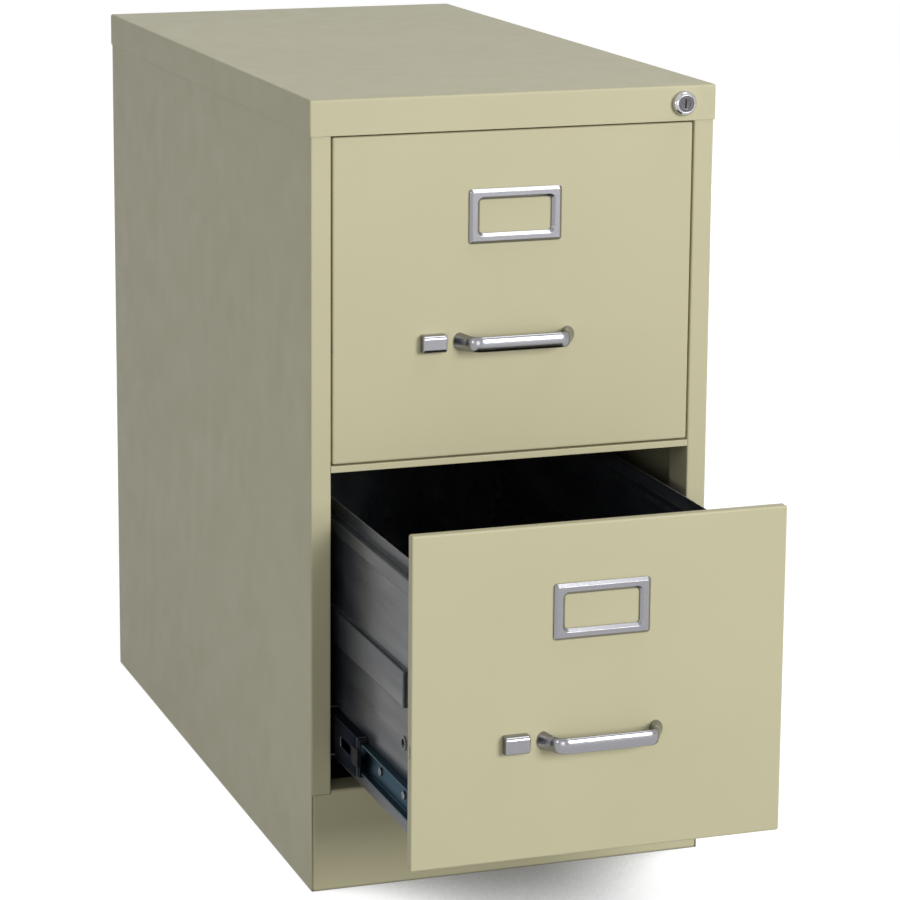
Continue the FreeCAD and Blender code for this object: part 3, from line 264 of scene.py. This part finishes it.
MATERIALS = {
    "putty_paint": putty_paint(),
    "drawer_steel": drawer_steel(),
    "black_plastic": black_plastic(),
}
PLATINGS = {
    "satin_chrome": {"colours": SATIN_CHROME, "rough": (0.17, 0.25), "grain": 1100},
    "bright_chrome": {
        "colours": BRIGHT_CHROME, "rough": (0.07, 0.14), "grain": 300, "height": BRIGHT_GRAIN
    },
    "lock_core_metal": {"colours": NICKEL, "rough": (0.22, 0.36), "grain": 900, "edge": 0.0003},
    "blue_zinc": {
        "colours": BLUE_ZINC, "rough": (0.24, 0.40), "grain": 60, "stretch": ROLLED, "rim": 0.4
    },
    "zinc_steel": {
        "colours": ZINC_STEEL, "rough": (0.26, 0.42), "grain": 80, "stretch": ROLLED, "rim": 0.3
    },
    "plain_steel": {"colours": PLAIN_STEEL, "rough": (0.25, 0.40), "grain": 250},
}
for plating, looks in PLATINGS.items():
    MATERIALS[plating] = plated(plating, **looks)


def dress_nodes():
    """Give each node of the model the material of its slot."""
    for name, node in NODES.items():
        node.data.materials.clear()
        node.data.materials.append(MATERIALS[SLOT_OF[name]])


def white_where_seen(tree):
    """1 for rays from the camera, off gloss and through glass, and 0 for the others."""
    path = tree.nodes.new("ShaderNodeLightPath")
    seen = path.outputs["Is Camera Ray"]
    for kind in ("Is Glossy Ray", "Is Transmission Ray"):
        most = tree.nodes.new("ShaderNodeMath")
        most.operation = "MAXIMUM"
        tree.links.new(seen, most.inputs[0])
        tree.links.new(path.outputs[kind], most.inputs[1])
        seen = most.outputs["Value"]
    return seen


def make_world():
    """A white background, and a dimmer even light from all round."""
    world = bpy.data.worlds.new("studio")
    bpy.context.scene.world = world
    world.use_nodes = True
    tree = world.node_tree
    strength = tree.nodes.new("ShaderNodeMapRange")
    strength.inputs["To Min"].default_value = AMBIENT
    strength.inputs["To Max"].default_value = BACKGROUND
    tree.links.new(white_where_seen(tree), strength.inputs["Value"])
    background = tree.nodes["Background"]
    background.inputs["Color"].default_value = (1, 1, 1, 1)
    tree.links.new(strength.outputs["Result"], background.inputs["Strength"])


def make_floor():
    """A plain white floor that keeps a soft shadow of the cabinet and is dark inside it."""
    bpy.ops.mesh.primitive_plane_add(size=FLOOR_SIZE, location=(0, 0, 0))
    floor = bpy.context.object
    floor.name = "floor"
    material = bpy.data.materials.new("floor_white")
    material.use_nodes = True
    tree = material.node_tree
    tree.nodes.remove(tree.nodes["Principled BSDF"])
    matt = tree.nodes.new("ShaderNodeBsdfDiffuse")
    matt.inputs["Color"].default_value = FLOOR_GREY
    glow = tree.nodes.new("ShaderNodeEmission")
    openness = tree.nodes.new("ShaderNodeAmbientOcclusion")
    openness.inputs["Distance"].default_value = OPEN_REACH
    shade = tree.nodes.new("ShaderNodeMapRange")
    shade.inputs["From Min"].default_value, shade.inputs["From Max"].default_value = OPEN_SPAN
    shade.inputs["To Max"].default_value = FLOOR_GLOW
    tree.links.new(openness.outputs["AO"], shade.inputs["Value"])
    strength = tree.nodes.new("ShaderNodeMath")
    strength.operation = "MULTIPLY"
    tree.links.new(shade.outputs["Result"], strength.inputs[1])
    tree.links.new(white_where_seen(tree), strength.inputs[0])
    tree.links.new(strength.outputs["Value"], glow.inputs["Strength"])
    both = tree.nodes.new("ShaderNodeAddShader")
    tree.links.new(matt.outputs["BSDF"], both.inputs[0])
    tree.links.new(glow.outputs["Emission"], both.inputs[1])
    tree.links.new(both.outputs["Shader"], tree.nodes["Material Output"].inputs["Surface"])
    floor.data.materials.append(material)


def make_lamps():
    """Soft lights round the cabinet."""
    for name, lamp in LAMPS.items():
        data = bpy.data.lights.new(name, "AREA")
        data.size = lamp.width
        data.energy = lamp.power
        light = bpy.data.objects.new(name, data)
        light.location = lamp.place
        light.rotation_euler = (LAMP_TARGET - lamp.place).to_track_quat("-Z", "Y").to_euler()
        bpy.context.scene.collection.objects.link(light)


def make_camera():
    """The photograph's view."""
    yaw, pitch, roll = (math.radians(angle) for angle in (CAMERA_YAW, CAMERA_PITCH, CAMERA_ROLL))
    level = Vector((math.sin(yaw), math.cos(yaw), 0))
    ahead = math.cos(pitch) * level - math.sin(pitch) * Vector((0, 0, 1))
    right = Vector((math.cos(yaw), -math.sin(yaw), 0))
    up = right.cross(ahead)
    tilted_right = math.cos(roll) * right - math.sin(roll) * up
    tilted_up = math.sin(roll) * right + math.cos(roll) * up
    data = bpy.data.cameras.new("camera")
    data.lens = CAMERA_LENS
    data.shift_x, data.shift_y = CAMERA_SHIFT
    camera = bpy.data.objects.new("camera", data)
    turn = Matrix((tilted_right, tilted_up, -ahead)).transposed().to_4x4()
    camera.matrix_world = Matrix.Translation(CAMERA_PLACE) @ turn
    bpy.context.scene.collection.objects.link(camera)
    bpy.context.scene.camera = camera


def shorten_springs():
    """Give each latch spring a mesh of its own."""
    for level in ("upper", "lower"):
        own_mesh(NODES[f"{level}_latch_spring"])


dress_nodes()
shorten_springs()
make_world()
make_floor()
make_lamps()
make_camera()
bpy.context.scene.view_settings.view_transform = "Standard"
